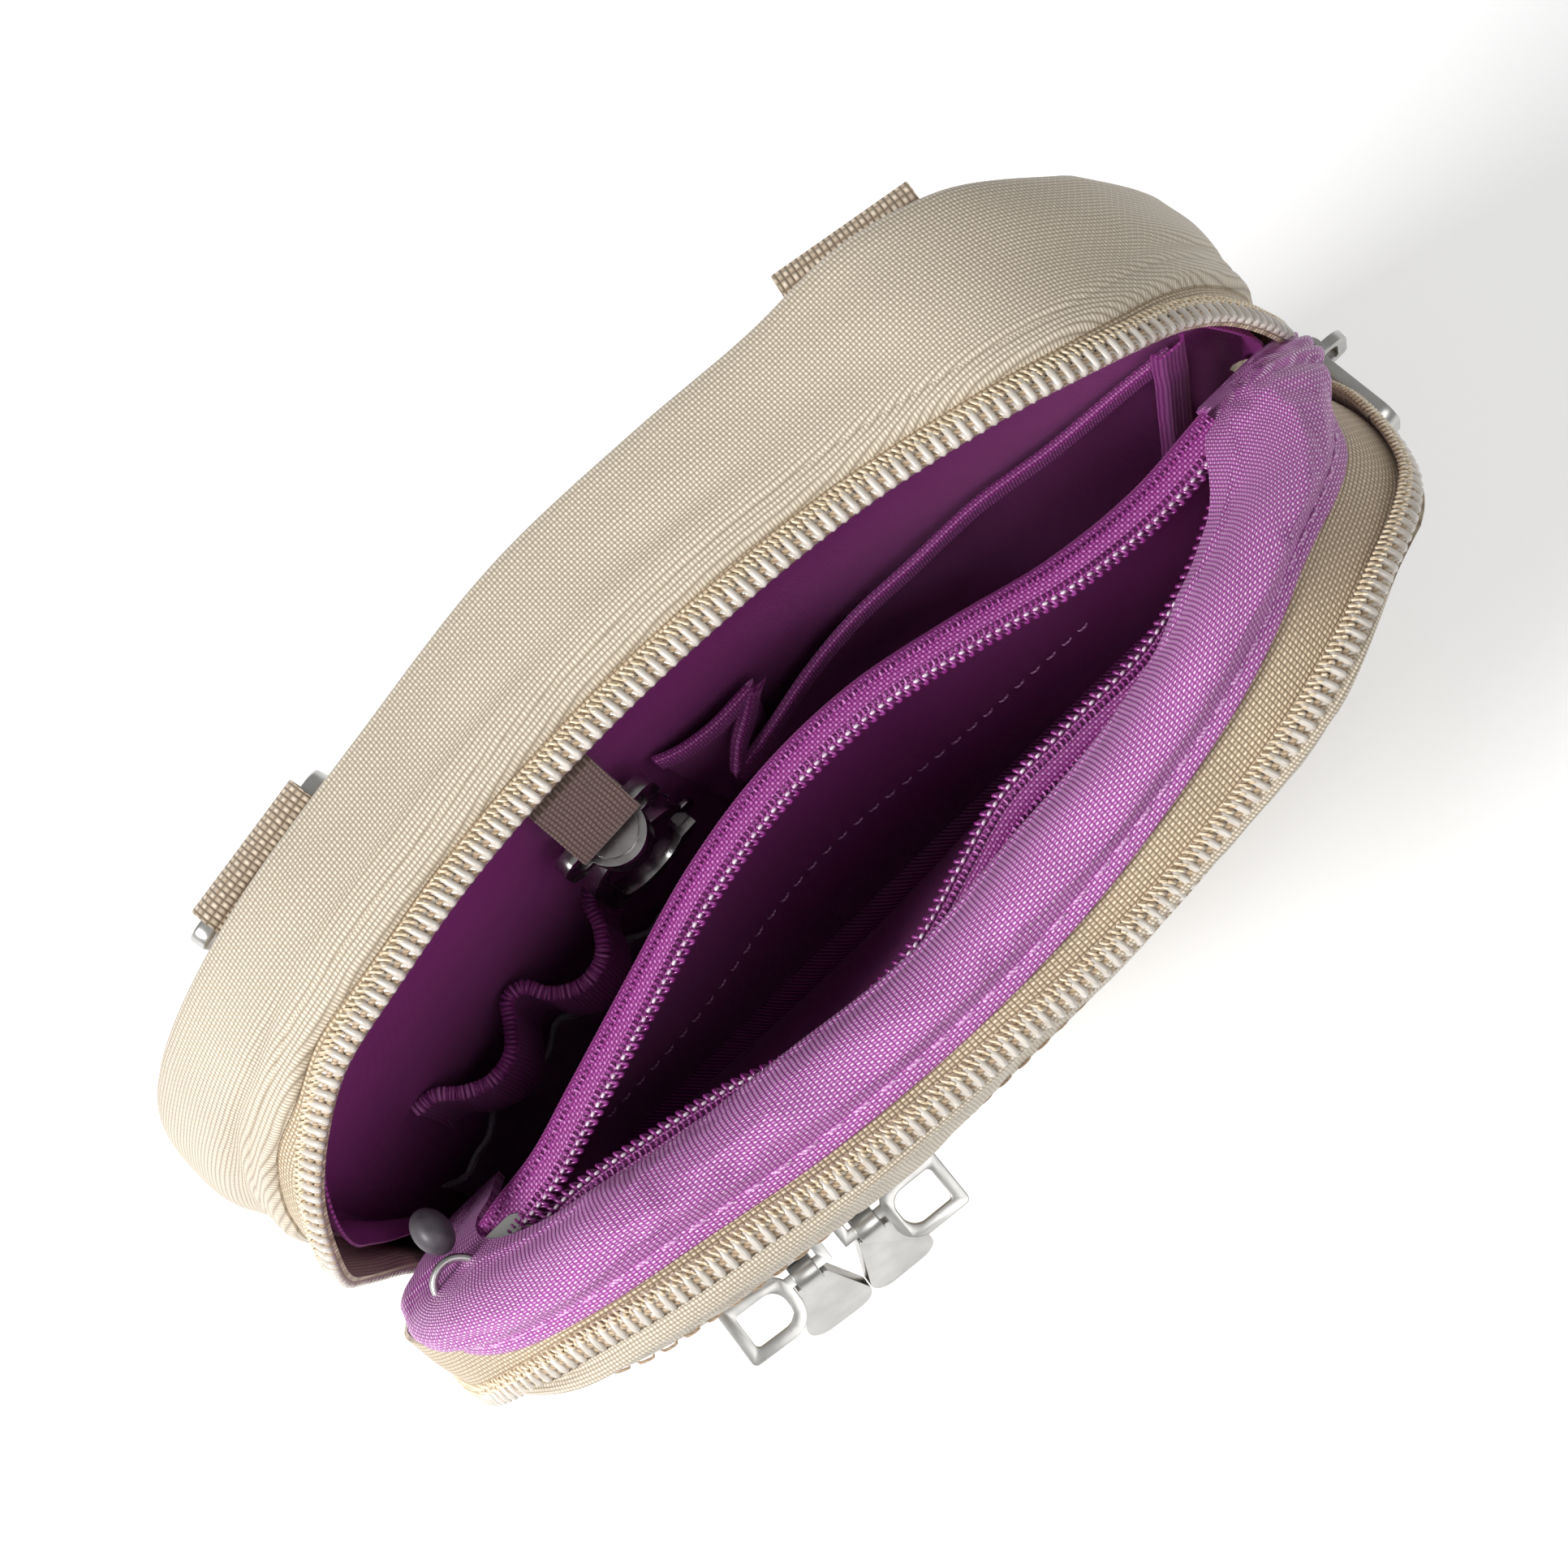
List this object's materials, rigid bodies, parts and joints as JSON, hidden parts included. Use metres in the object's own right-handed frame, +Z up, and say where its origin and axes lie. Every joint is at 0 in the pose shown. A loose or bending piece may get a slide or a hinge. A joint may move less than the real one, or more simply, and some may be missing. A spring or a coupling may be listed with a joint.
{
  "type": "neck pouch wallet",
  "caption": "Padded travel pouch standing open, with a zipped mouth, zipped front and inside pockets, pen loops, a snap hook for keys and two rings for a neck strap.",
  "frame": {"origin": "centre of the flat base between its side edges, midway between the front and back faces", "axes": "+X across the width to the wearer's side with the main slider, +Y to the padded back, +Z up"},
  "size_m": [0.1805, 0.0939, 0.1521],
  "materials": {
    "nylon": "sand-coloured coated nylon in a fine basket weave",
    "foam": "closed-cell foam",
    "blocking": "metallised blocking cloth",
    "zip_tape": "golden-beige woven zip tape",
    "coil": "grey-beige nylon coil, slightly glossy",
    "webbing": "brown-beige ribbed webbing",
    "lining": "deep purple polyester lining, soft sheen",
    "facing": "lighter purple twill with a silky sheen",
    "lining_tape": "purple zip tape and coil",
    "binding": "purple grosgrain binding",
    "elastic": "purple ribbed elastic",
    "window": "clear vinyl",
    "plated": "satin nickel plate",
    "pull_tab": "dark moulded tab"
  },
  "bodies": {
    "pouch": {"back_panel": "nylon", "back_foam": "foam", "blocking_sheet": "blocking", "back_gusset": "nylon", "base_panel": "nylon", "lower_front_panel": "nylon", "lower_side_gussets": "nylon", "main_tape_back": "zip_tape", "main_coil_back": "coil", "zip_stops": "plated", "lining_back": "lining", "lining_gusset": "lining", "lining_lower_front": "lining", "slip_pocket": "lining", "slip_pocket_binding": "binding", "pen_loops": "elastic", "loop_binding": "binding", "id_window": "window", "id_binding": "binding", "strap_tab_left": "webbing", "strap_tab_right": "webbing", "key_tape": "webbing"},
    "front": {"pocket_panel": "nylon", "front_top_strip": "nylon", "pocket_tapes": "zip_tape", "pocket_coil": "coil", "pocket_lining": "lining", "front_foam": "foam", "front_lining": "lining", "front_gusset": "nylon", "main_tape_front": "zip_tape", "main_coil_front": "coil", "front_facing": "facing", "inner_pocket_rear": "lining", "inner_pocket_front": "lining", "inner_tape_rear": "lining_tape", "inner_coil_rear": "lining_tape", "inner_tape_front": "lining_tape", "inner_coil_front": "lining_tape", "inner_zip_closed": "lining_tape", "trim_bar": "plated"},
    "main_slider": {"main_slider": "plated"},
    "main_pull": {"main_pull": "plated"},
    "pocket_slider_left": {"pocket_slider_left": "plated"},
    "pocket_pull_left": {"pocket_pull_left": "plated"},
    "pocket_slider_right": {"pocket_slider_right": "plated"},
    "pocket_pull_right": {"pocket_pull_right": "plated"},
    "inner_slider": {"inner_slider": "plated"},
    "inner_pull": {"inner_pull": "pull_tab"},
    "strap_ring_left": {"strap_ring_left": "plated"},
    "strap_ring_right": {"strap_ring_right": "plated"},
    "hook_loop": {"hook_loop": "plated"},
    "hook": {"hook_body": "plated", "gate_pin": "plated", "gate_spring": "plated"},
    "hook_gate": {"hook_gate": "plated"}
  },
  "joints": [
    {"name": "mouth_fold", "type": "hinge", "parent": "pouch", "child": "front", "pos_m": [0, -0.03, 0.04], "axis": [1, 0, 0], "range_deg": [-2, 10]},
    {"name": "main_slider_travel", "type": "slide", "parent": "pouch", "child": "main_slider", "axis": [0, 0, 1], "range_m": [-0.027, 0]},
    {"name": "main_pull_swing", "type": "hinge", "parent": "main_slider", "child": "main_pull", "pos_m": [0.0891, -0.00777, 0.0909], "axis": [0, 0, 1], "range_deg": [-1, 52]},
    {"name": "pocket_slider_left_travel", "type": "hinge", "parent": "front", "child": "pocket_slider_left", "pos_m": [0, 0.24818, 0.19799], "axis": [0, -0.2419, 0.9703], "range_deg": [-3.6, 0]},
    {"name": "pocket_slider_right_travel", "type": "hinge", "parent": "front", "child": "pocket_slider_right", "pos_m": [0, 0.24818, 0.19799], "axis": [0, -0.2419, 0.9703], "range_deg": [0, 15.3]},
    {"name": "pocket_pull_left_swing", "type": "hinge", "parent": "pocket_slider_left", "child": "pocket_pull_left", "pos_m": [-0.03869, -0.05186, 0.12318], "axis": [-0.9919, 0.1232, 0.0307], "range_deg": [-33, 20]},
    {"name": "pocket_pull_right_swing", "type": "hinge", "parent": "pocket_slider_right", "child": "pocket_pull_right", "pos_m": [-0.02932, -0.05286, 0.12293], "axis": [-0.9958, 0.0885, 0.0221], "range_deg": [-33, 20]},
    {"name": "inner_slider_travel", "type": "slide", "parent": "front", "child": "inner_slider", "axis": [1, 0, 0], "range_m": [0, 0.0035]},
    {"name": "inner_pull_swing", "type": "hinge", "parent": "inner_slider", "child": "inner_pull", "pos_m": [-0.06915, -0.02818, 0.13424], "axis": [1, 0, 0], "range_deg": [-8, 105]},
    {"name": "strap_ring_left_swing", "type": "hinge", "parent": "pouch", "child": "strap_ring_left", "pos_m": [-0.05158, 0.02918, 0.137], "axis": [0.9861, 0.1661, 0], "range_deg": [-2, 150]},
    {"name": "strap_ring_right_swing", "type": "hinge", "parent": "pouch", "child": "strap_ring_right", "pos_m": [0.05158, 0.02918, 0.137], "axis": [0.9861, -0.1661, 0], "range_deg": [-2, 150]},
    {"name": "hook_hang", "type": "hinge", "parent": "pouch", "child": "hook_loop", "pos_m": [-0.01871, 0.00452, 0.128], "axis": [0.9981, 0.0619, 0], "range_deg": [-8, 0]},
    {"name": "hook_swivel", "type": "hinge", "parent": "hook_loop", "child": "hook", "pos_m": [-0.01871, 0.00452, 0.12], "axis": [0, 0, 1], "range_deg": [-16, 16]},
    {"name": "hook_gate_swing", "type": "hinge", "parent": "hook", "child": "hook_gate", "pos_m": [-0.01203, 0.00494, 0.1092], "axis": [0.0619, -0.9981, 0], "range_deg": [-25, 0], "stiffness_Nm_per_rad": 0.01, "springref_deg": 8.59}
  ]
}
